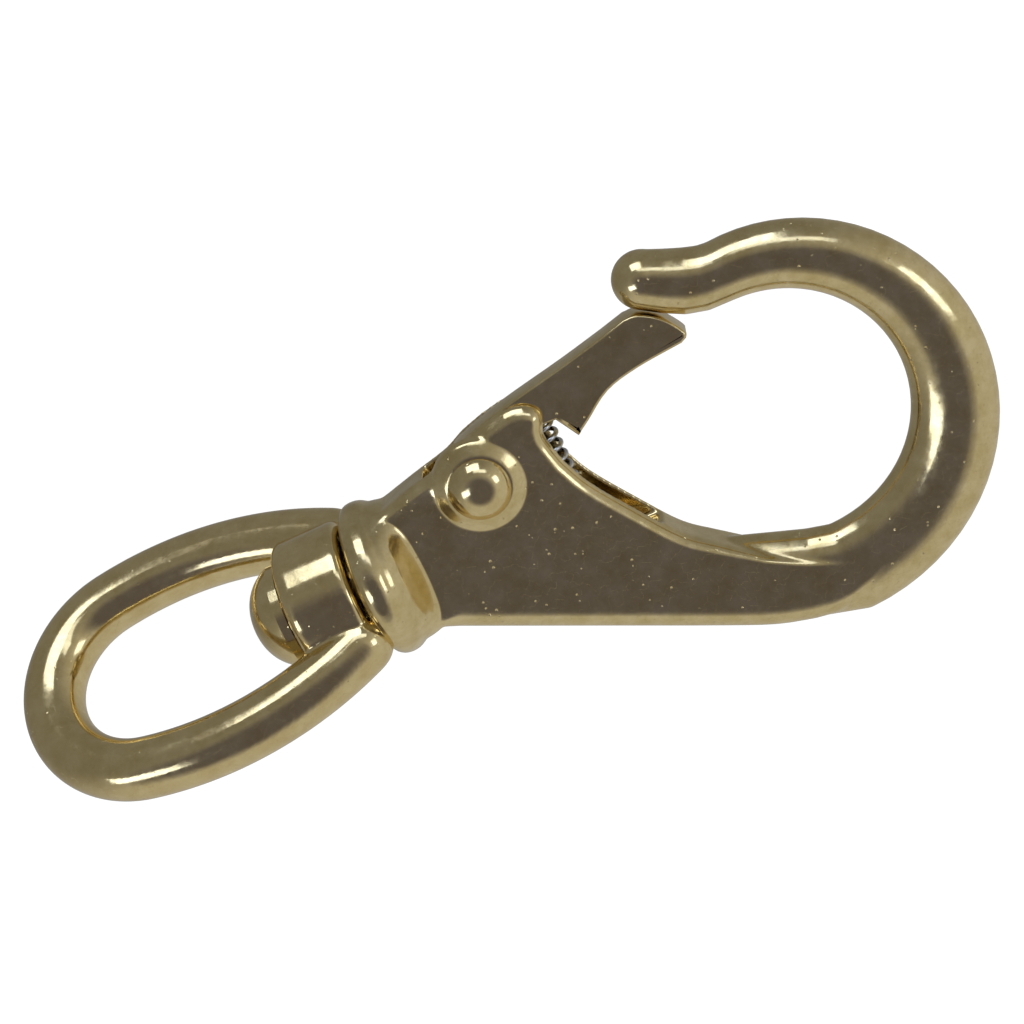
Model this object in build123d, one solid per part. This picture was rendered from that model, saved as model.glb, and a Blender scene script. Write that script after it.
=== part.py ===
from build123d import *
import math
import os

# Swivel-eye boat snap, in millimetres.
# X runs along the swivel axis from the eye to the bow, Y points to the gate side,
# and Z is square to the flat hook. The origin is the middle of the eye's opening.

# Swivel eye
EYE_BAR_R = 3.15          # radius of the round bar that the eye is bent from
EYE_HALF_W = 11.0         # bar centre line to swivel axis at the widest place
EYE_APEX_X = -15.6        # bar centre line at the closed end
EYE_SIDE_R = 36.0         # bend radius of the two long sides
EYE_ARM_X = 17.2          # where each side ends on the barrel
EYE_END_ROUND = 2.9       # rounding of the two ends
EYE_TURN = -54.0          # rest turn of the eye about the swivel axis, degrees
BARREL_R = 7.2
BARREL_X0 = 11.7
BARREL_X1 = 19.0
BARREL_ROUND = 1.1
END_PLAY = 0.3            # gap each side of the barrel along the swivel axis
RUNNING_FIT = 0.08        # radial clearance of the turning fits

# Swivel pin
SWIVEL_STEM_R = 3.0
SWIVEL_HEAD_R = 5.4
SWIVEL_HEAD_RIM = 0.9
SWIVEL_HEAD_RISE = 3.4
SWIVEL_STEM_X1 = 24.2
# A middle point of a head's dome, as shares of its radius and of its rise
DOME_SHARE = (0.66, 0.72)

# Hook body: collar, wedge with two cheeks, and bow
COLLAR_R = 8.1
COLLAR_LIP = 2.8          # length of the rounded lip along X
COLLAR_NECK_R = 6.6       # where the shoulder leaves the lip
COLLAR_NECK_SINK = 0.5    # how far the shoulder's start is kept inside the lip
SHOULDER_X1 = 26.4        # where the shoulder has sunk into the wedge
SHOULDER_END = (6.1, 13.0)
SHOULDER_END_ROUND = 1.4
BODY_HALF_T = 3.15        # half thickness of the wedge
BELLY_ROUND = 2.4         # rounding of the wedge's long lower edges
EAR_ROUND = 1.1           # rounding of the ears and the top of the wedge
WEDGE_X0 = 23.0
WEDGE_HEEL_Y = (-6.3, 6.6)
BELLY_TOP_Y = -9.5        # the belly's edge has its middle below this, and before the next
BELLY_END_X = 50.0
THROAT_SIDE = [(52.9, -9.9), (47.2, -3.5), (44.0, 1.4), (42.6, 6.0)]
EAR_FRONT = [(42.6, 6.0), (42.2, 10.6), (39.4, 11.7)]
EAR_BACK = [(39.4, 11.7), (36.0, 10.95), (32.0, 9.15)]
SLOT_HALF_W = 1.75
SLOT_CUTTER = (47.9, 13.75)
SLOT_CUTTER_R = 19.5
WEDGE_END = (56.0, -15.9)
WEDGE_END_TURN = -20.0    # heading of the bar where it leaves the wedge, degrees
WEDGE_END_HALF = 4.85

BOW_CENTRE = (64.0, 0.0)
BOW_R_START = 18.2        # spiral radius of the bow's centre line, wedge side
BOW_R_END = 15.15         # and at the tip side, half a turn later
BAR_HALF_W_START = 4.85   # half width of the bar in the plane of the hook, where the bow begins
BAR_HALF_W_END = 3.1      # and where it straightens into the tip
BAR_HALF_T_START = 3.15   # half thickness of the bar along Z, at the same two places
BAR_HALF_T_END = 3.0
BAR_TAPER_POWER = 1.25
BOW_STATIONS = 13
THROAT_INSET = 0.3        # how far the blend's start is kept inside the wedge
THROAT_HALF = (3.2, 2.5)  # half width and half thickness of the blend where it has sunk into the bar
THROAT_END_ROUND = 2.4
# Stations of the bar in the wedge and at the tip: centre, heading in degrees, half width, half thickness
ROOT_RUN = [((51.0, -13.4), -23.6, 4.2, 2.8), ((57.0, -16.1), -20.0, 4.55, 3.1)]
TIP_RUN = [
    ((60.4, 15.65), 160.0, 3.28, 3.1),
    ((58.5, 16.55), 153.0, 3.14, 3.04),
    ((56.7, 17.5), 153.0, 3.0, 2.98),
    ((54.15, 18.85), 153.0, 3.0, 2.98)]
TIP_ROUND = 2.8           # rounding that makes the tip's ball end

# Gate and its rivet
PIVOT = (34.3, 5.7)
GATE_HALF_T = 1.6
GATE_HUB_R = 3.4
GATE_EDGE = 0.3           # rounding of the gate's edges, from its heel to its nose
GATE_EDGE_X0 = 40.0
GATE_BACK = [(31.3, 8.5), (34.2, 10.1), (39.0, 11.55), (46.2, 13.1), (53.2, 14.85)]
GATE_NOSE = [(53.2, 14.85), (55.1, 14.8), (57.1, 13.5), (58.6, 11.5)]
GATE_LIP = [(58.6, 11.5), (58.7, 10.9), (58.2, 10.5)]
GATE_UNDER = [(58.2, 10.5), (53.0, 9.85), (49.4, 8.9), (46.4, 6.9), (45.0, 5.9)]
GATE_HEEL = [(38.0, 8.35), (36.6, 4.0), (32.0, 4.0), (31.3, 8.5)]
GATE_HEEL_X = 43.7
BOSS_R = 4.65             # raised seat of the rivet, on the +Z side only
BOSS_TOP_R = 3.25
BOSS_RISE = 0.9
RIVET_R = 1.8
RIVET_HEAD_R = 3.1
RIVET_HEAD_RISE = 1.5
RIVET_HEAD_RIM = 0.25

# Gate spring
SPRING_X = 41.8
SPRING_TOP_Y = 8.35
SPRING_FLOOR_Y = -5.6
SPRING_COIL_R = 1.2
SPRING_WIRE_R = 0.25
SPRING_TURNS = 11
SPRING_SEAT_GAP = 0.05
SPRING_POCKET_R = 1.6
SPRING_POCKET_DEPTH = 4.0

ON_PLANE = 0.01           # an edge nearer than this to a plane lies in it


def eye_path():
    """Centre line of the eye's bar: two long arcs joined by the closed end's arc."""
    side_y = EYE_HALF_W - EYE_SIDE_R
    apex_r = (EYE_SIDE_R ** 2 - side_y ** 2 - EYE_APEX_X ** 2) / (2 * (EYE_SIDE_R + EYE_APEX_X))
    apex_x = EYE_APEX_X + apex_r
    reach = EYE_SIDE_R / (EYE_SIDE_R - apex_r)
    join = (apex_x * reach, side_y - side_y * reach)
    arm_y = side_y + math.sqrt(EYE_SIDE_R ** 2 - EYE_ARM_X ** 2)
    upper = ThreePointArc((EYE_ARM_X, arm_y), (0, EYE_HALF_W), join)
    end = ThreePointArc(join, (EYE_APEX_X, 0), (join[0], -join[1]))
    lower = ThreePointArc((join[0], -join[1]), (0, -EYE_HALF_W), (EYE_ARM_X, -arm_y))
    return Wire([upper, end, lower])


def make_swivel_eye():
    path = eye_path()
    section = Plane(origin=path @ 0, z_dir=path % 0) * Circle(EYE_BAR_R)
    ring = sweep(section, path=path)
    ring = fillet(ring.edges().filter_by(lambda edge: edge.center().X > EYE_ARM_X - ON_PLANE), EYE_END_ROUND)
    length = BARREL_X1 - BARREL_X0
    middle = Pos((BARREL_X0 + BARREL_X1) / 2, 0, 0) * Rot(0, 90, 0)
    barrel = middle * Cylinder(BARREL_R, length)
    barrel = fillet(barrel.edges(), BARREL_ROUND)
    trim = Pos(BARREL_X1 + length / 2, 0, 0) * Box(length, 4 * EYE_HALF_W, 4 * EYE_HALF_W)
    bore = middle * Cylinder(SWIVEL_STEM_R + RUNNING_FIT, 4 * length)
    return Rot(EYE_TURN, 0, 0) * (ring + barrel - trim - bore)


def dome_profile(radius, rise):
    """Three points of a domed head's profile, from crown to rim: distance from the axis, and height."""
    return [(0, rise), (DOME_SHARE[0] * radius, DOME_SHARE[1] * rise), (radius, 0)]


def make_swivel_pin():
    head_x1 = BARREL_X0 - END_PLAY
    head_x0 = head_x1 - SWIVEL_HEAD_RIM
    points = [(head_x0 - height, radius) for radius, height in dome_profile(SWIVEL_HEAD_R, SWIVEL_HEAD_RISE)]
    dome = ThreePointArc(*points)
    rest = Polyline(
        (head_x0, SWIVEL_HEAD_R),
        (head_x1, SWIVEL_HEAD_R),
        (head_x1, SWIVEL_STEM_R),
        (SWIVEL_STEM_X1, SWIVEL_STEM_R),
        (SWIVEL_STEM_X1, 0),
        (head_x0 - SWIVEL_HEAD_RISE, 0))
    return revolve(make_face([dome, rest]), Axis.X)


def across_bar(point, heading):
    """Plane square to the bar at a point of its centre line, with its x in the plane of the hook."""
    along = Vector(1, 0, 0).rotate(Axis.Z, heading)
    sideways = Vector(0, 1, 0).rotate(Axis.Z, heading)
    return Plane(origin=(*point, 0), z_dir=along, x_dir=sideways)


def make_collar():
    """The rounded lip next to the barrel, and the shoulder that carries it to the wedge."""
    lip_x0 = BARREL_X1 + END_PLAY
    lip_x1 = lip_x0 + COLLAR_LIP
    half = COLLAR_LIP / 2
    lip = ThreePointArc((lip_x0, COLLAR_R - half), (lip_x0 + half, COLLAR_R), (lip_x1, COLLAR_R - half))
    rest = Polyline((lip_x1, COLLAR_R - half), (lip_x1, 0), (lip_x0, 0), (lip_x0, COLLAR_R - half))
    ring = revolve(make_face([lip, rest]), Axis.X)
    thick, tall = SHOULDER_END
    neck = across_bar((lip_x1 - COLLAR_NECK_SINK, 0), 0) * Circle(COLLAR_NECK_R)
    end = across_bar((SHOULDER_X1, 0), 0) * RectangleRounded(tall, thick, SHOULDER_END_ROUND)
    return ring + loft([neck, end])


def wedge_outline():
    """Side outline of the wedge: straight belly, open bow side, rounded ear and sloping top."""
    heading = math.radians(WEDGE_END_TURN)
    across = (-math.sin(heading), math.cos(heading))
    low_end = (WEDGE_END[0] - across[0] * WEDGE_END_HALF, WEDGE_END[1] - across[1] * WEDGE_END_HALF)
    top_end = (WEDGE_END[0] + across[0] * WEDGE_END_HALF, WEDGE_END[1] + across[1] * WEDGE_END_HALF)
    heel_low = (WEDGE_X0, WEDGE_HEEL_Y[0])
    heel_top = (WEDGE_X0, WEDGE_HEEL_Y[1])
    belly = Line(heel_low, low_end)
    end = Line(low_end, top_end)
    throat = Spline(top_end, *THROAT_SIDE)
    ear_front = ThreePointArc(*EAR_FRONT)
    ear_back = Spline(*EAR_BACK)
    top = Line(EAR_BACK[-1], heel_top)
    heel = Line(heel_top, heel_low)
    return make_face([belly, end, throat, ear_front, ear_back, top, heel])


def face_edges(solid, belly):
    """Edges round the wedge's two flat faces: the belly's, or all the others."""
    chosen = []
    for edge in solid.edges():
        middle = edge.center()
        on_face = abs(abs(middle.Z) - BODY_HALF_T) < ON_PLANE
        on_cut = middle.X < WEDGE_X0 + ON_PLANE or middle.X > WEDGE_END[0] - ON_PLANE
        is_belly = middle.Y < BELLY_TOP_Y and middle.X < BELLY_END_X
        if on_face and not on_cut and is_belly == belly:
            chosen.append(edge)
    return chosen


def make_wedge():
    wedge = extrude(wedge_outline(), BODY_HALF_T, both=True)
    wedge = fillet(face_edges(wedge, True), BELLY_ROUND)
    wedge = fillet(face_edges(wedge, False), EAR_ROUND)
    slot = extrude(Pos(*SLOT_CUTTER) * Circle(SLOT_CUTTER_R), SLOT_HALF_W, both=True)
    return wedge - slot


def bow_reach(share):
    """Distance from the bow's centre to its centre line, at a share of the half turn."""
    return BOW_R_START + (BOW_R_END - BOW_R_START) * share


def bow_station(turn):
    """Centre, heading, half width and half thickness of the bar at -90 to 90 degrees round the bow."""
    share = (turn + 90) / 180
    reach = bow_reach(share)
    angle = math.radians(turn)
    point = (BOW_CENTRE[0] + reach * math.cos(angle), BOW_CENTRE[1] + reach * math.sin(angle))
    inward = math.atan2(BOW_R_START - BOW_R_END, math.pi * reach)
    half_w = BAR_HALF_W_START + (BAR_HALF_W_END - BAR_HALF_W_START) * share ** BAR_TAPER_POWER
    half_t = BAR_HALF_T_START + (BAR_HALF_T_END - BAR_HALF_T_START) * share
    return point, turn + 90 + math.degrees(inward), half_w, half_t


def make_bow():
    turns = [-90 + 180 * i / (BOW_STATIONS - 1) for i in range(BOW_STATIONS)]
    stations = ROOT_RUN + [bow_station(turn) for turn in turns] + TIP_RUN
    sections = []
    for point, heading, half_w, half_t in stations:
        sections.append(across_bar(point, heading) * Ellipse(half_w, half_t))
    bow = loft(sections)
    tip_edge = bow.edges().sort_by(lambda edge: (edge.center() - Vector(*TIP_RUN[-1][0])).length)[0]
    return fillet(tip_edge, TIP_ROUND)


def make_throat():
    """Blend from inside the wedge's rounded-square end down into the bar of the bow."""
    width = 2 * WEDGE_END_HALF - THROAT_INSET
    thick = 2 * BODY_HALF_T - THROAT_INSET
    wide = RectangleRounded(width, thick, BELLY_ROUND)
    narrow = RectangleRounded(2 * THROAT_HALF[0], 2 * THROAT_HALF[1], THROAT_END_ROUND)
    point, heading, _, _ = bow_station(-90)
    inside = across_bar(WEDGE_END, WEDGE_END_TURN).offset(-THROAT_INSET)
    return loft([inside * wide, across_bar(point, heading) * narrow])


def make_hook_body():
    body = make_wedge() + make_collar() + make_throat() + make_bow()
    body += Pos(*PIVOT, BODY_HALF_T) * Solid.make_cone(BOSS_R, BOSS_TOP_R, BOSS_RISE)
    body -= Pos(*PIVOT, 0) * Cylinder(RIVET_R, 4 * BODY_HALF_T)
    body -= Pos(SWIVEL_STEM_X1 / 2, 0, 0) * Rot(0, 90, 0) * Cylinder(SWIVEL_STEM_R, SWIVEL_STEM_X1)
    pocket_y = SPRING_FLOOR_Y + SPRING_POCKET_DEPTH / 2
    body -= Pos(SPRING_X, pocket_y, 0) * Rot(90, 0, 0) * Cylinder(SPRING_POCKET_R, SPRING_POCKET_DEPTH)
    return body


def gate_outline():
    """Side outline of the gate: back, nose, lip, underside and the heel that seats the spring."""
    heel = [GATE_UNDER[-1], (GATE_HEEL_X, SPRING_TOP_Y)] + GATE_HEEL
    return make_face([
        Spline(*GATE_BACK),
        Spline(*GATE_NOSE),
        ThreePointArc(*GATE_LIP),
        Spline(*GATE_UNDER),
        Polyline(*heel)])


def make_gate():
    hub = Pos(*PIVOT) * Circle(GATE_HUB_R)
    gate = extrude(gate_outline() + hub, GATE_HALF_T, both=True)
    rims = gate.edges().filter_by(
        lambda edge: abs(abs(edge.center().Z) - GATE_HALF_T) < ON_PLANE and edge.center().X > GATE_EDGE_X0)
    gate = fillet(rims, GATE_EDGE)
    return gate - Pos(*PIVOT, 0) * Cylinder(RIVET_R + RUNNING_FIT, 4 * BODY_HALF_T)


def make_rivet_head():
    """Domed head with its seat on the XY plane."""
    profile = dome_profile(RIVET_HEAD_R, RIVET_HEAD_RISE)
    points = [(radius, 0, RIVET_HEAD_RIM + height) for radius, height in profile]
    dome = ThreePointArc(*points)
    rest = Polyline(points[2], (RIVET_HEAD_R, 0, 0), (0, 0, 0), points[0])
    return revolve(make_face([dome, rest]), Axis.Z)


def make_gate_pin():
    """The gate's rivet: one head on the raised seat, the other on the flat side below."""
    top = BODY_HALF_T + BOSS_RISE
    shank = Pos(0, 0, (top - BODY_HALF_T) / 2) * Cylinder(RIVET_R, top + BODY_HALF_T)
    head = make_rivet_head()
    return Pos(*PIVOT, 0) * (shank + Pos(0, 0, top) * head + Pos(0, 0, -BODY_HALF_T) * Rot(180, 0, 0) * head)


def make_gate_spring():
    length = SPRING_TOP_Y - SPRING_FLOOR_Y - 2 * (SPRING_WIRE_R + SPRING_SEAT_GAP)
    helix = Helix(length / SPRING_TURNS, length, SPRING_COIL_R)
    section = Plane(origin=helix @ 0, z_dir=helix % 0) * Circle(SPRING_WIRE_R)
    coil = sweep(section, path=helix)
    return Pos(SPRING_X, SPRING_FLOOR_Y + SPRING_WIRE_R + SPRING_SEAT_GAP, 0) * Rot(-90, 0, 0) * coil


def main():
    os.makedirs("parts", exist_ok=True)
    nodes = {
        "hook_body": make_hook_body(),
        "swivel_eye": make_swivel_eye(),
        "swivel_pin": make_swivel_pin(),
        "gate": make_gate(),
        "gate_pin": make_gate_pin(),
        "gate_spring": make_gate_spring(),
    }
    for name, shape in nodes.items():
        export_step(shape, f"parts/{name}.step")


if __name__ == "__main__":
    main()
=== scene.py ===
import math

import bmesh
import bpy
from mathutils import Matrix, Vector
from mathutils.geometry import interpolate_bezier


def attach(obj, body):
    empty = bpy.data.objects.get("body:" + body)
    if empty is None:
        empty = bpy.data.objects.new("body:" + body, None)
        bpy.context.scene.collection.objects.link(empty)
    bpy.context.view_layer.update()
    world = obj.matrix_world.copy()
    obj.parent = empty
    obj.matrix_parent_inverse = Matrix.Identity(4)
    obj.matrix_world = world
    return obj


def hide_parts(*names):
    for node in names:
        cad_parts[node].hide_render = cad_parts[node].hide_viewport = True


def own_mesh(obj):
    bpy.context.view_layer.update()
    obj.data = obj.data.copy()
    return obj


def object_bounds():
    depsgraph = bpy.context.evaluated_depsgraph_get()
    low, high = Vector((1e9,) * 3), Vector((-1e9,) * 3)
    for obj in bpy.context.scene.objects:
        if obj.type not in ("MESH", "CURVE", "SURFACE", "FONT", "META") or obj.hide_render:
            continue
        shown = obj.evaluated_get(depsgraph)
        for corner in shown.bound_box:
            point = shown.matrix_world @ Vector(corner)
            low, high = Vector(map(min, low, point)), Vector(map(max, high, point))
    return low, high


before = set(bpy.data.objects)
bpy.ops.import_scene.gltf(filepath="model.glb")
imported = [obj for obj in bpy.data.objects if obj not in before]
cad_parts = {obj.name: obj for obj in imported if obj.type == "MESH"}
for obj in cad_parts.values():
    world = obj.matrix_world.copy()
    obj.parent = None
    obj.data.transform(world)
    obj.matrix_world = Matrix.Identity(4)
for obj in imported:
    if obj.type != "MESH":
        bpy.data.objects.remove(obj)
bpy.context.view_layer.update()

# A brass boat snap with a swivel eye. Pieces are drawn in millimetres, in the frame's own axes,
# and brought to metres as they are finished. X runs along the swivel axis, Y to the gate side,
# and Z is square to the flat hook.
MM = 0.001

# Cast body
HALF_T = 3.15             # half thickness of the wedge
SLOT_HALF_W = 1.75
SLOT_CENTRE = Vector((47.9, 13.75, 0.0))
SLOT_R = 19.5
PIVOT = Vector((34.3, 5.7, 0.0))
BELLY_ROUND = 2.4         # rounding of the long lower edges
BOW_CENTRE = Vector((64.0, 0.0, 0.0))
BOW_REACH = (18.2, 15.15)     # centre line to bow centre, at the wedge and half a turn later
BOW_HALF_W = (4.85, 3.1)      # half width of the bar in the hook's plane, at the same places
BOW_HALF_T = (3.15, 3.0)      # and its half thickness
BOW_TAPER = 1.25              # above 1, the bar narrows later
# Stations of the bar where it grows out of the wedge, and where it straightens into the tip:
# centre, heading in degrees, half width, half thickness
ROOT_RUN = [
    ((50.0, -12.9), -23.6, 3.6, 2.6), ((53.5, -14.6), -22.0, 4.2, 2.95),
    ((57.0, -16.1), -20.0, 4.5, 3.1), ((60.5, -17.35), -11.0, 4.62, 3.14)]
TIP_RUN = [
    ((62.2, 15.2), 168.0, 3.2, 3.0), ((60.4, 15.68), 160.0, 3.26, 3.0),
    ((58.6, 16.5), 154.0, 3.14, 2.95), ((56.9, 17.4), 152.0, 2.96, 2.9)]
TIP_BALL = (56.75, 17.5, 0.0)
TIP_BALL_R = 2.96
# Profile of the collar's ring: distance along the swivel axis, radius
COLLAR_RING = [
    (19.3, 0), (19.3, 6.3), (19.42, 7.1), (19.8, 7.7), (20.35, 8.02), (21.0, 8.1), (21.7, 8.0),
    (22.3, 7.7), (22.8, 7.2), (23.0, 6.0), (23.0, 0)]
# The shoulder behind the ring: distance along the axis, and how far its round section has
# turned into the wedge's rounded square
SHOULDER_X0 = 21.6
SHOULDER_R = (7.6, 7.5)       # inside the ring, and where the change begins
SHOULDER_RUN = [
    (22.3, 0.0), (23.1, 0.1), (23.9, 0.3), (24.6, 0.57), (25.2, 0.85), (25.6, 1.0), (27.5, 1.0)]
SHOULDER_HALF_Y = 6.5
SHOULDER_SINK = 0.02          # how far it stays below the wedge's flat sides
SHOULDER_CORNER = 5           # 2 is round, and more is squarer
# Raised seat of the rivet: distance from the rivet's axis, height over the hook's middle
RIVET_SEAT = [(0, 2), (4.9, 2), (4.65, HALF_T), (3.25, 4.0), (0, 4.0)]
FLAT_MARGIN = 0.25        # from a flat's edge to the first ring inside it
CAST_VOXEL = 0.2          # fine enough for the small fillets of a polished casting
CAST_SMOOTH = 8

# Gate
GATE_HALF_T = 1.6
GATE_EDGE = 0.3
GATE_HUB_R = 3.4
GATE_HEEL_Y = 8.33            # the heel's flat, which bears on the spring
GATE_HEEL_X = (38.3, 41.0, 43.6)
RIVET_BORE_R = 1.88

# Swivel eye
EYE_BAR_R = 3.15
EYE_HALF_W = 11.0
EYE_APEX_X = -15.6
EYE_SIDE_R = 36.0
EYE_ARM_X = 17.2
EYE_TURN = -54.0
BARREL_R = 7.2
BARREL_X0 = 11.7
BARREL_X1 = 19.0
BARREL_ROUND = 1.1
BORE_R = 3.08
ARM_END_SINK = 0.02           # how much smaller the balls in the arms' ends are than the bar
EYE_SMOOTH = 6

# Gate spring
SPRING_X = 41.8
SPRING_LOW_Y = -5.55
SPRING_TOP_Y = 8.3
SPRING_COIL_R = 1.2
SPRING_WIRE_R = 0.25
SPRING_TURNS = 11
POCKET_R = 1.6
POCKET_DEPTH = 4.0
POCKET_SINK = 0.05            # how far the pocket's floor lies below the spring


# ---------------------------------------------------------------- making pieces

def finished(name, mesh, body, material, replaced):
    """A mesh drawn in millimetres becomes a smooth-shaded piece in metres on its body."""
    mesh.transform(Matrix.Scale(MM, 4))
    for face in mesh.polygons:
        face.use_smooth = True
    mesh.materials.clear()
    mesh.materials.append(material)
    piece = bpy.data.objects.new(name, mesh)
    bpy.context.scene.collection.objects.link(piece)
    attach(piece, body)
    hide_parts(replaced)
    return piece


def mesh_from(bm, name):
    """The bmesh as a mesh, with its doubles merged and its faces turned outwards."""
    bmesh.ops.remove_doubles(bm, verts=bm.verts, dist=1e-4)
    bmesh.ops.recalc_face_normals(bm, faces=bm.faces)
    mesh = bpy.data.meshes.new(name)
    bm.to_mesh(mesh)
    bm.free()
    return mesh


def with_modifiers(mesh, *steps):
    """The mesh after a list of (modifier type, settings) steps."""
    holder = bpy.data.objects.new("holder", mesh)
    bpy.context.scene.collection.objects.link(holder)
    for kind, settings in steps:
        modifier = holder.modifiers.new(kind.lower(), kind)
        for name, value in settings.items():
            setattr(modifier, name, value)
    seen = bpy.context.evaluated_depsgraph_get()
    result = bpy.data.meshes.new_from_object(holder.evaluated_get(seen), depsgraph=seen)
    bpy.data.objects.remove(holder)
    return result


def cast_skin(mesh, voxel, passes):
    """Joins overlapping shells into one skin whose inside corners are softly filleted."""
    return with_modifiers(
        mesh,
        ("REMESH", {"mode": "VOXEL", "voxel_size": voxel, "adaptivity": 0.0}),
        ("SMOOTH", {"factor": 0.5, "iterations": passes}),
    )


def across(point, heading):
    """Placement that turns a flat circle square to a bar at a point of its centre line."""
    turn = Matrix.Rotation(math.radians(heading), 4, "Z") @ Matrix.Rotation(math.radians(90), 4, "Y")
    return Matrix.Translation(point) @ turn


def add_disc(bm, sides, radius, place):
    """A flat disc, as its vertices and its edges."""
    verts = bmesh.ops.create_circle(bm, cap_ends=True, segments=sides, radius=radius, matrix=place)["verts"]
    return verts, list({edge for vert in verts for edge in vert.link_edges})


def grow(bm, ring):
    """Extrudes a ring of edges in place, and gives the new vertices and the new ring."""
    grown = bmesh.ops.extrude_edge_only(bm, edges=ring)["geom"]
    verts = [item for item in grown if isinstance(item, bmesh.types.BMVert)]
    return verts, [item for item in grown if isinstance(item, bmesh.types.BMEdge)]


def add_bar(bm, stations, sides):
    """An oval bar through stations of (centre, heading in degrees, half width, half thickness)."""
    def place(station):
        point, heading, half_w, half_t = station
        return across(point, heading) @ Matrix.Diagonal((half_t, half_w, 1, 1))

    at = place(stations[0])
    _, ring = add_disc(bm, sides, 1, at)
    for station in stations[1:]:
        verts, ring = grow(bm, ring)
        there = place(station)
        bmesh.ops.transform(bm, matrix=there @ at.inverted(), verts=verts)
        at = there
    bmesh.ops.edgeloop_fill(bm, edges=ring)


def add_slab(bm, outline, half_t, steps=6):
    """A flat slab in the hook's plane whose edges are rounded over, from an anticlockwise outline
    of (point, rounding) pairs. Each level of the rounding is one ring round the slab."""
    points = [point for point, _ in outline]
    inward = []
    for before, after in zip(points[-1:] + points[:-1], points[1:] + points[:1]):
        along = (after - before).normalized()
        inward.append(Vector((-along.y, along.x, 0)))

    def level(side, share):
        """Ring at one share of the rounding: 0 is on the flat side, 1 is at full width."""
        back = 1 - math.sin(share * math.pi / 2)
        drop = 1 - math.cos(share * math.pi / 2)
        return [
            point + way * (size * back) + Vector((0, 0, side * (half_t - size * drop)))
            for (point, size), way in zip(outline, inward)]

    def flat(side):
        """Ring just inside the flat side's edge, which keeps the flat's shading flat."""
        return [point + way * FLAT_MARGIN for point, way in zip(level(side, 0), inward)]

    shares = [i / steps for i in range(steps + 1)]
    rings = [flat(-1)] + [level(-1, share) for share in shares]
    rings += [level(1, share) for share in reversed(shares)] + [flat(1)]
    number = bm.verts.layers.int.new("outline_number")
    first = [bm.verts.new(point) for point in rings[0]]
    for i, vert in enumerate(first):
        vert[number] = i
    caps = [bm.faces.new(first)]
    ring = caps[0].edges[:]
    for wanted in rings[1:]:
        verts, ring = grow(bm, ring)
        for vert in verts:
            vert.co = wanted[vert[number]]
    caps += bmesh.ops.edgeloop_fill(bm, edges=ring)["faces"]
    bmesh.ops.triangulate(bm, faces=caps, quad_method="BEAUTY", ngon_method="BEAUTY")


def curve(start, handle, handle2, end, steps):
    """Points of a cubic curve in the hook's plane."""
    corners = [Vector((*point, 0)) for point in (start, handle, handle2, end)]
    return interpolate_bezier(*corners, steps)


def through(points, steps):
    """A smooth line through points in the hook's plane."""
    spots = [Vector((*point, 0)) for point in points]
    ends = [spots[0] * 2 - spots[1]] + spots + [spots[-1] * 2 - spots[-2]]
    line = []
    for before, start, end, after in zip(ends, ends[1:], ends[2:], ends[3:]):
        handles = (start + (end - before) / 6, end - (after - start) / 6)
        line += interpolate_bezier(start, *handles, end, steps)[:-1]
    return line + [spots[-1]]


def cut_away(mesh, *cutters):
    """The mesh after cutting away round bars of (centre, radius, length, axis)."""
    tools = []
    for centre, radius, length, axis in cutters:
        bm = bmesh.new()
        turn = Vector(axis).to_track_quat("Z", "Y").to_matrix().to_4x4()
        bmesh.ops.create_cone(
            bm, cap_ends=True, segments=128, radius1=radius, radius2=radius, depth=length,
            matrix=Matrix.Translation(centre) @ turn)
        tool = bpy.data.objects.new("cutter", mesh_from(bm, "cutter"))
        bpy.context.scene.collection.objects.link(tool)
        tools.append(tool)
    steps = [("BOOLEAN", {"operation": "DIFFERENCE", "object": tool, "solver": "EXACT"}) for tool in tools]
    cut = with_modifiers(mesh, *steps)
    for tool in tools:
        bpy.data.objects.remove(tool)
    return cut


def add_turned(bm, profile, axis, centre, steps):
    """A turned shape: the profile spun a full turn about an axis."""
    verts = [bm.verts.new(point) for point in profile]
    edges = [bm.edges.new(pair) for pair in zip(verts, verts[1:])]
    bmesh.ops.spin(
        bm, geom=verts + edges, cent=centre, axis=axis, angle=math.tau, steps=steps, use_merge=True)


def corner_points(corners, radius, steps=6):
    """An open outline of (x, y) corners whose inner corners are rounded to a radius."""
    points = [Vector(corners[0])]
    for before, corner, after in zip(corners, corners[1:], corners[2:]):
        corner = Vector(corner)
        back = (Vector(before) - corner).normalized()
        ahead = (Vector(after) - corner).normalized()
        half = back.angle(ahead) / 2
        reach = radius / math.tan(half)
        centre = corner + (back + ahead).normalized() * (radius / math.sin(half))
        start = corner + back * reach - centre
        finish = corner + ahead * reach - centre
        for i in range(steps + 1):
            mixed = start.lerp(finish, i / steps)
            points.append(centre + mixed.normalized() * radius)
    points.append(Vector(corners[-1]))
    return points


# ---------------------------------------------------------------- cast hook body

def bow_station(turn):
    """Station of the bow's bar, at -90 to 90 degrees round the bow."""
    share = (turn + 90) / 180
    reach = BOW_REACH[0] + (BOW_REACH[1] - BOW_REACH[0]) * share
    angle = math.radians(turn)
    point = BOW_CENTRE + Vector((math.cos(angle), math.sin(angle), 0)) * reach
    inward = math.degrees(math.atan2(BOW_REACH[0] - BOW_REACH[1], math.pi * reach))
    half_w = BOW_HALF_W[0] + (BOW_HALF_W[1] - BOW_HALF_W[0]) * share ** BOW_TAPER
    half_t = BOW_HALF_T[0] + (BOW_HALF_T[1] - BOW_HALF_T[0]) * share
    return point, turn + 90 + inward, half_w, half_t


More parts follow.
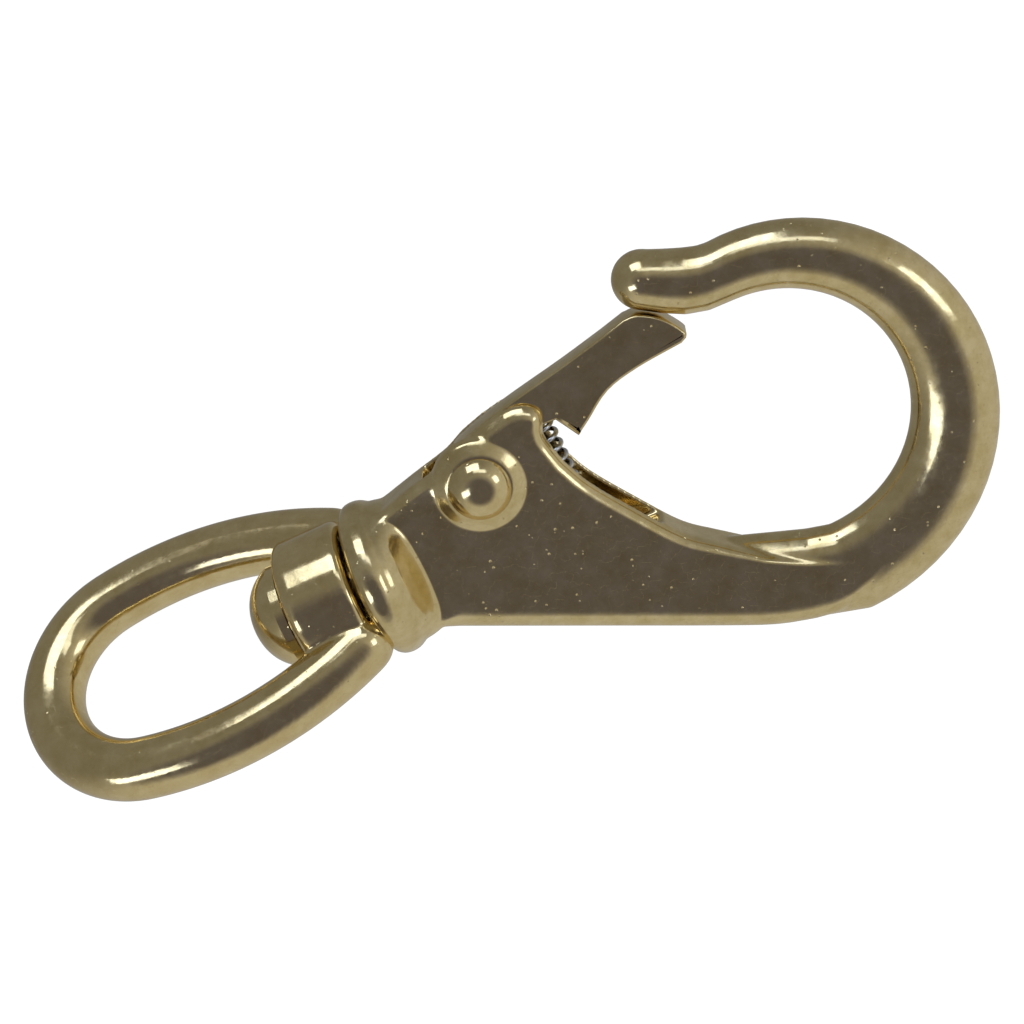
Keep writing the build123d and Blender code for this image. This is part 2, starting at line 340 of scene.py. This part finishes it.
def with_rounding(points, start, end=None):
    """Points paired with a rounding that changes evenly from start to end."""
    end = start if end is None else end
    last = max(len(points) - 1, 1)
    return [(point, start + (end - start) * i / last) for i, point in enumerate(points)]


def wedge_outline():
    """Side outline of the wedge and its roundings, anticlockwise from the collar's lower corner.
    The flat runs out as a tongue along the crest of the bow's bar."""
    belly = with_rounding([Vector((23.0, -6.3, 0)), Vector((26.0, -7.6, 0))], BELLY_ROUND)
    belly += with_rounding(
        through([(30.0, -9.4), (40.0, -13.9), (50.0, -18.4), (55.0, -20.5), (58.8, -21.5)], 4), BELLY_ROUND)
    tongue = with_rounding(
        through([(61.2, -21.8), (63.6, -21.2), (65.8, -20.1), (67.4, -18.9)], 4), 2.3, 0.9)
    tongue += with_rounding(
        through([(68.1, -18.1), (67.5, -17.5), (64.6, -16.6), (60.6, -14.9), (57.0, -12.9)], 4), 0.5, 0.9)
    throat = with_rounding(
        through([(53.3, -9.9), (50.4, -7.5), (47.4, -3.5), (44.2, 1.2), (42.8, 4.3)], 5), 1.4, 1.7)
    front = with_rounding(curve((42.4, 5.8), (42.1, 7.2), (41.9, 7.6), (42.5, 8.7), 7), 1.6)
    front += with_rounding(curve((42.8, 9.3), (43.0, 10.3), (42.3, 11.0), (41.3, 11.5), 6), 1.8, 2.2)
    crown = [Vector((40.4, 11.75, 0)), Vector((39.2, 11.75, 0)), Vector((38.2, 11.55, 0))]
    front += with_rounding(crown, 2.3)
    slope = with_rounding(
        through([(36.9, 11.2), (34.3, 10.3), (32.0, 9.15), (28.0, 8.05), (23.0, 6.6)], 4), 2.1, 1.2)
    return belly + tongue + throat + front + slope


def add_shoulder(bm):
    """Blend from the collar's round back down to the wedge's rounded-square section."""
    _, ring = add_disc(bm, 96, SHOULDER_R[0], across(Vector((SHOULDER_X0, 0, 0)), 0))
    for x, share in SHOULDER_RUN:
        verts, ring = grow(bm, ring)
        for vert in verts:
            way = Vector((0, vert.co.y, vert.co.z)).normalized()
            wide = abs(way.y / SHOULDER_HALF_Y) ** SHOULDER_CORNER
            thick = abs(way.z / (HALF_T - SHOULDER_SINK)) ** SHOULDER_CORNER
            square = (wide + thick) ** (-1 / SHOULDER_CORNER)
            vert.co = way * (SHOULDER_R[1] + (square - SHOULDER_R[1]) * share)
            vert.co.x = x
    bmesh.ops.edgeloop_fill(bm, edges=ring)


def make_hook_body(material):
    slab = bmesh.new()
    add_slab(slab, wedge_outline(), HALF_T)
    pocket = Vector((SPRING_X, SPRING_LOW_Y - POCKET_SINK + POCKET_DEPTH / 2, 0))
    wedge = cut_away(
        mesh_from(slab, "wedge"),
        (SLOT_CENTRE, SLOT_R, 2 * SLOT_HALF_W, (0, 0, 1)),
        (pocket, POCKET_R, POCKET_DEPTH, (0, 1, 0)))
    bm = bmesh.new()
    bm.from_mesh(wedge)
    add_shoulder(bm)
    root, tip = ([(Vector((*point, 0)), *rest) for point, *rest in run] for run in (ROOT_RUN, TIP_RUN))
    add_bar(bm, root + [bow_station(turn) for turn in range(-90, 91, 5)] + tip, 56)
    bmesh.ops.create_uvsphere(
        bm, u_segments=40, v_segments=24, radius=TIP_BALL_R, matrix=Matrix.Translation(TIP_BALL))
    add_turned(bm, [(x, y, 0) for x, y in COLLAR_RING], (1, 0, 0), (0, 0, 0), 72)
    add_turned(bm, [PIVOT + Vector((x, 0, z)) for x, z in RIVET_SEAT], (0, 0, 1), PIVOT, 64)
    joined = mesh_from(bm, "hook_body_shells")
    skin = cast_skin(joined, CAST_VOXEL, CAST_SMOOTH)
    return finished("cast_hook_body", skin, "hook", material, "hook_body")


# ---------------------------------------------------------------- gate

def make_gate(material):
    """The flat gate lever: long back, rounded nose under the hook's tip, heel on the spring."""
    bm = bmesh.new()
    under = through([(45.0, 5.95), (46.5, 6.95), (49.4, 8.95), (53.0, 9.9), (57.9, 10.45)], 5)
    lip = through([(58.5, 10.75), (58.6, 11.4), (57.15, 13.45), (55.1, 14.8), (53.6, 14.9)], 5)
    back = through([(51.0, 14.2), (46.2, 13.05), (39.0, 11.5), (34.2, 10.05), (32.2, 8.9)], 5)
    hub = [PIVOT + Vector((math.cos(turn), math.sin(turn), 0)) * GATE_HUB_R
           for turn in (math.radians(angle) for angle in range(140, 350, 15))]
    heel = [Vector((x, GATE_HEEL_Y, 0)) for x in GATE_HEEL_X]
    add_slab(bm, with_rounding(under + lip + back + hub + heel, GATE_EDGE), GATE_HALF_T, 4)
    slab = cut_away(mesh_from(bm, "gate_slab"), (PIVOT, RIVET_BORE_R, 8 * GATE_HALF_T, (0, 0, 1)))
    return finished("gate_lever", slab, "gate", material, "gate")


# ---------------------------------------------------------------- swivel eye

def make_swivel_eye(material):
    """The eye's round bar follows three arcs, and its ends run into the turning barrel."""
    bm = bmesh.new()
    side_y = EYE_HALF_W - EYE_SIDE_R
    apex_r = (EYE_SIDE_R ** 2 - side_y ** 2 - EYE_APEX_X ** 2) / (2 * (EYE_SIDE_R + EYE_APEX_X))
    apex_x = EYE_APEX_X + apex_r
    arm_angle = math.asin(EYE_ARM_X / EYE_SIDE_R)
    join_angle = math.atan2(-apex_x, -side_y)
    start = Vector((EYE_ARM_X, side_y + EYE_SIDE_R * math.cos(arm_angle), 0))
    at = across(start, 180 - math.degrees(arm_angle))
    verts, edges = add_disc(bm, 48, EYE_BAR_R, at)
    geom = verts + edges
    bends = [
        (Vector((0, side_y, 0)), arm_angle + join_angle, 30),
        (Vector((apex_x, 0, 0)), math.pi - 2 * join_angle, 48),
        (Vector((0, -side_y, 0)), arm_angle + join_angle, 30)]
    for centre, angle, steps in bends:
        geom = bmesh.ops.spin(
            bm, geom=geom, cent=centre, axis=(0, 0, 1), angle=angle, steps=steps)["geom_last"]
    bmesh.ops.edgeloop_fill(bm, edges=[item for item in geom if isinstance(item, bmesh.types.BMEdge)])
    for side in (1, -1):
        place = Matrix.Translation((start.x, side * start.y, 0))
        bmesh.ops.create_uvsphere(
            bm, u_segments=32, v_segments=20, radius=EYE_BAR_R - ARM_END_SINK, matrix=place)
    wall = [(BARREL_X0, BORE_R), (BARREL_X0, BARREL_R), (BARREL_X1, BARREL_R), (BARREL_X1, BORE_R)]
    rounded = [Vector((*point, 0)) for point in corner_points(wall, BARREL_ROUND)]
    add_turned(bm, rounded + [rounded[0]], (1, 0, 0), (0, 0, 0), 96)
    joined = mesh_from(bm, "eye_shells")
    joined.transform(Matrix.Rotation(math.radians(EYE_TURN), 4, "X"))
    skin = cast_skin(joined, CAST_VOXEL, EYE_SMOOTH)
    return finished("swivel_eye_bail", skin, "eye", material, "swivel_eye")


# ---------------------------------------------------------------- gate spring

def make_gate_spring(material):
    """A coil of round wire: one circle spun up the helix."""
    bm = bmesh.new()
    low = SPRING_LOW_Y + SPRING_WIRE_R
    length = SPRING_TOP_Y - SPRING_WIRE_R - low
    start = Matrix.Translation((SPRING_X + SPRING_COIL_R, low, 0))
    verts, edges = add_disc(bm, 12, SPRING_WIRE_R, start)
    steps = 28 * SPRING_TURNS
    last = bmesh.ops.spin(
        bm, geom=verts + edges, cent=(SPRING_X, low, 0), axis=(0, 1, 0), dvec=(0, length / steps, 0),
        angle=math.tau * SPRING_TURNS, steps=steps)["geom_last"]
    bmesh.ops.edgeloop_fill(bm, edges=[item for item in last if isinstance(item, bmesh.types.BMEdge)])
    piece = finished(
        "gate_spring_coil", mesh_from(bm, "coil"), "hook", material, "gate_spring")
    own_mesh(piece)
    return piece


# ---------------------------------------------------------------- materials

def linear(hex_colour):
    """An sRGB hex colour as the linear RGBA that shaders take."""
    parts = [int(hex_colour[i:i + 2], 16) / 255 for i in (1, 3, 5)]
    return [*((c / 12.92 if c <= 0.04045 else ((c + 0.055) / 1.055) ** 2.4) for c in parts), 1.0]


def new_material(name):
    """A material with an empty node tree, and the tree."""
    material = bpy.data.materials.new(name)
    material.use_nodes = True
    material.node_tree.nodes.clear()
    return material, material.node_tree


def add_node(tree, kind, settings=None, links=None):
    """A node with its settings (attributes or input values) and its input links."""
    node = tree.nodes.new(kind)
    for name, value in (settings or {}).items():
        if isinstance(name, int) or name in node.inputs:
            node.inputs[name].default_value = value
        else:
            setattr(node, name, value)
    for name, source in (links or {}).items():
        tree.links.new(source, node.inputs[name])
    return node


def polished_brass(name, colours, roughness, waviness, pit_depth):
    """Polished cast brass: a pale yellow mirror that is a little wavy, with buffing haze,
    soft tarnish and scattered casting pits. Waviness and pit depth are in millimetres."""
    material, tree = new_material(name)
    place = add_node(tree, "ShaderNodeTexCoord").outputs["Object"]
    # Tarnish in patches about 2.5 mm across, with finer mottling inside them.
    tarnish = add_node(tree, "ShaderNodeTexNoise",
                       {"Scale": 1 / (2.5 * MM), "Detail": 6.0, "Roughness": 0.68}, {"Vector": place})
    tone = add_node(tree, "ShaderNodeMapRange", {"From Min": 0.33, "From Max": 0.67},
                    {"Value": tarnish.outputs["Fac"]})
    tint = add_node(tree, "ShaderNodeMix",
                    {"data_type": "RGBA", "A": linear(colours[0]), "B": linear(colours[1])},
                    {"Factor": tone.outputs["Result"]})
    # Buffing haze in patches about a millimetre across.
    haze = add_node(tree, "ShaderNodeTexNoise", {"Scale": 1 / MM, "Detail": 4.0, "Roughness": 0.6},
                    {"Vector": place})
    gloss = add_node(tree, "ShaderNodeMapRange",
                     {"From Min": 0.35, "From Max": 0.68,
                      "To Min": roughness * 0.75, "To Max": roughness * 1.45},
                     {"Value": haze.outputs["Fac"]})
    # Waves left by hand polishing, about 3 mm long, with a grain of 0.3 mm on top.
    waves = add_node(tree, "ShaderNodeTexNoise", {"Scale": 1 / (3 * MM), "Detail": 1.5}, {"Vector": place})
    grain = add_node(tree, "ShaderNodeTexNoise", {"Scale": 1 / (0.3 * MM), "Detail": 2.0}, {"Vector": place})
    wavy = add_node(tree, "ShaderNodeBump", {"Strength": 1.0, "Distance": waviness * MM},
                    {"Height": waves.outputs["Fac"]})
    grainy = add_node(tree, "ShaderNodeBump", {"Strength": 1.0, "Distance": waviness * 0.06 * MM},
                      {"Height": grain.outputs["Fac"], "Normal": wavy.outputs["Normal"]})
    # Pits up to a third of a millimetre wide, in about half of the 0.8 mm cells.
    pits = add_node(tree, "ShaderNodeTexVoronoi", {"Scale": 1 / (0.8 * MM)}, {"Vector": place})
    chance = add_node(tree, "ShaderNodeSeparateColor", None, {"Color": pits.outputs["Color"]})
    size = add_node(tree, "ShaderNodeMapRange",
                    {"From Min": 0.5, "From Max": 1.0, "To Min": 0.0, "To Max": 0.2},
                    {"Value": chance.outputs["Red"]})
    cup = add_node(tree, "ShaderNodeMapRange", {"From Min": 0.0},
                   {"Value": pits.outputs["Distance"], "From Max": size.outputs["Result"]})
    pitted = add_node(tree, "ShaderNodeBump", {"Strength": 1.0, "Distance": pit_depth * MM},
                      {"Height": cup.outputs["Result"], "Normal": grainy.outputs["Normal"]})
    shader = add_node(tree, "ShaderNodeBsdfPrincipled", {"Metallic": 1.0},
                      {"Base Color": tint.outputs["Result"], "Roughness": gloss.outputs["Result"],
                       "Normal": pitted.outputs["Normal"]})
    add_node(tree, "ShaderNodeOutputMaterial", None, {"Surface": shader.outputs["BSDF"]})
    return material


def spring_steel():
    """Bright drawn spring wire: grey, with a faint unevenness in its gloss about 0.4 mm across."""
    material, tree = new_material("bright_spring_steel")
    place = add_node(tree, "ShaderNodeTexCoord").outputs["Object"]
    marks = add_node(tree, "ShaderNodeTexNoise", {"Scale": 1 / (0.4 * MM), "Detail": 2.0}, {"Vector": place})
    gloss = add_node(tree, "ShaderNodeMapRange", {"To Min": 0.12, "To Max": 0.3},
                     {"Value": marks.outputs["Fac"]})
    shader = add_node(tree, "ShaderNodeBsdfPrincipled", {"Metallic": 1.0, "Base Color": linear("#C9C9C6")},
                      {"Roughness": gloss.outputs["Result"]})
    add_node(tree, "ShaderNodeOutputMaterial", None, {"Surface": shader.outputs["BSDF"]})
    return material


def repaint(node, material):
    """A carried-over part keeps its shape and takes the finish."""
    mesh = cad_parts[node].data
    mesh.materials.clear()
    mesh.materials.append(material)


# ---------------------------------------------------------------- stage

VIEW_POINT = Vector((35.58, 0.90, 0.0)) * MM
VIEW_TILT = 20.0          # camera's lean from square-on to the flat hook, degrees
VIEW_ROLL = 24.32         # turn of the hook in the picture, degrees
VIEW_DISTANCE = 0.300
LENS = 106.5
WHITE_WALL = (0.47, -0.85, 0.24)    # way to the white wall
WALLS = (0.22, 0.52)                # light of the grey wall and of the white wall
DARK_WAY = (-0.03, -0.12, 0.99)     # way to the darkest part of the room overhead
CEILING = (0.118, 0.113, 0.148)     # and its light
BACKDROP = (0.95, 0.95, 0.95)       # what shows behind the snap
FLOOR_MIDDLE = (0.03, 0.0)
FLOOR_HALF = 3.0
FLOOR_GLOW = (0.42, 0.95)           # on the snap, and as it shows
SOFTBOX_DISTANCE = 0.8
SOFTBOX_COLOUR = (0.88, 1.0, 1.3)
# Softboxes: name, way to it, width and height in metres, strength
SOFTBOXES = [
    ("softbox_gate_side", (0.32, 0.75, 0.57), 0.5, 0.16, 0.3),
    ("softbox_behind_gate", (0.05, 0.95, 0.30), 0.5, 0.36, 0.5),
    ("softbox_bow_side", (0.81, 0.04, 0.58), 0.26, 0.24, 0.4),
    ("softbox_eye_side", (-0.62, -0.06, 0.78), 0.22, 0.4, 0.55)]


def make_camera():
    data = bpy.data.cameras.new("camera")
    data.lens = LENS
    data.sensor_width = 36.0
    data.clip_start = 0.01
    camera = bpy.data.objects.new("camera", data)
    bpy.context.scene.collection.objects.link(camera)
    roll = Matrix.Rotation(math.radians(-VIEW_ROLL), 4, "Z")
    tilt = Matrix.Rotation(math.radians(-VIEW_TILT), 4, "X")
    stand_off = Matrix.Translation((0, 0, VIEW_DISTANCE))
    camera.matrix_world = Matrix.Translation(VIEW_POINT) @ roll @ tilt @ stand_off
    bpy.context.scene.camera = camera


def make_floor():
    """A wide white sheet under the snap, which glows a little so that shadows stay faint.
    Polished brass shows the walls in its place, so no edge of the sheet is seen in it."""
    middle = Vector((*FLOOR_MIDDLE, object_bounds()[0].z))
    bm = bmesh.new()
    bmesh.ops.create_grid(
        bm, x_segments=1, y_segments=1, size=FLOOR_HALF, matrix=Matrix.Translation(middle))
    mesh = bpy.data.meshes.new("floor")
    bm.to_mesh(mesh)
    bm.free()
    material, tree = new_material("white_paper")
    seen = add_node(tree, "ShaderNodeLightPath").outputs["Is Camera Ray"]
    glow = add_node(tree, "ShaderNodeMapRange", {"To Min": FLOOR_GLOW[0], "To Max": FLOOR_GLOW[1]},
                    {"Value": seen})
    shader = add_node(tree, "ShaderNodeBsdfPrincipled",
                      {"Base Color": linear("#8C8C8C"), "Roughness": 0.9, "Specular IOR Level": 0.0,
                       "Emission Color": linear("#FFFFFF")}, {"Emission Strength": glow.outputs["Result"]})
    add_node(tree, "ShaderNodeOutputMaterial", None, {"Surface": shader.outputs["BSDF"]})
    mesh.materials.append(material)
    floor = bpy.data.objects.new("floor", mesh)
    floor.visible_glossy = False
    bpy.context.scene.collection.objects.link(floor)


def add_softbox(name, direction, width, height, strength):
    """A rectangular softbox that faces the snap, a little cooler than the room."""
    data = bpy.data.lights.new(name, "AREA")
    data.shape = "RECTANGLE"
    data.size = width
    data.size_y = height
    data.energy = strength * width * height * math.pi * 4
    data.color = SOFTBOX_COLOUR
    lamp = bpy.data.objects.new(name, data)
    bpy.context.scene.collection.objects.link(lamp)
    way = Vector(direction).normalized()
    facing = way.to_track_quat("Z", "Y").to_matrix().to_4x4()
    lamp.matrix_world = Matrix.Translation(VIEW_POINT + way * SOFTBOX_DISTANCE) @ facing


def make_studio():
    """A dim room above, low walls that are white on the belly side and grey on the gate side, and
    four softboxes."""
    world = bpy.data.worlds.new("studio")
    bpy.context.scene.world = world
    world.use_nodes = True
    tree = world.node_tree
    tree.nodes.clear()
    way = add_node(tree, "ShaderNodeTexCoord").outputs["Generated"]
    side = add_node(tree, "ShaderNodeVectorMath", {"operation": "DOT_PRODUCT", 1: WHITE_WALL}, {0: way})
    wall = add_node(tree, "ShaderNodeMapRange",
                    {"interpolation_type": "SMOOTHSTEP", "From Min": -0.6, "From Max": 0.6,
                     "To Min": WALLS[0], "To Max": WALLS[1]}, {"Value": side.outputs["Value"]})
    walls = add_node(tree, "ShaderNodeVectorMath", {"operation": "SCALE", 0: (1, 1, 1)},
                     {"Scale": wall.outputs["Result"]})
    over = add_node(tree, "ShaderNodeVectorMath", {"operation": "DOT_PRODUCT", 1: DARK_WAY}, {0: way})
    height = add_node(tree, "ShaderNodeMapRange",
                      {"interpolation_type": "SMOOTHSTEP", "From Min": 0.66, "From Max": 0.92},
                      {"Value": over.outputs["Value"]})
    light = add_node(tree, "ShaderNodeMix", {"data_type": "VECTOR", "B": CEILING},
                     {"Factor": height.outputs["Result"], "A": walls.outputs["Vector"]})
    seen = add_node(tree, "ShaderNodeLightPath").outputs["Is Camera Ray"]
    shown = add_node(tree, "ShaderNodeMix", {"data_type": "VECTOR", "B": BACKDROP},
                     {"Factor": seen, "A": light.outputs["Result"]})
    back = add_node(tree, "ShaderNodeBackground", {"Strength": 1.0}, {"Color": shown.outputs["Result"]})
    add_node(tree, "ShaderNodeOutputWorld", None, {"Surface": back.outputs["Background"]})
    for name, direction, width, height, strength in SOFTBOXES:
        add_softbox(name, direction, width, height, strength)
    bpy.context.scene.view_settings.view_transform = "Standard"


# ---------------------------------------------------------------- the snap

cast = polished_brass("polished_cast_brass", ("#EAD7A4", "#D6C086"), 0.14, 0.035, 0.08)
turned = polished_brass("polished_brass_bar", ("#EAD6A0", "#DAC38A"), 0.12, 0.035, 0.02)
make_hook_body(cast)
make_swivel_eye(turned)
make_gate(cast)
make_gate_spring(spring_steel())
for node in ("swivel_pin", "gate_pin"):
    repaint(node, turned)

make_camera()
make_floor()
make_studio()
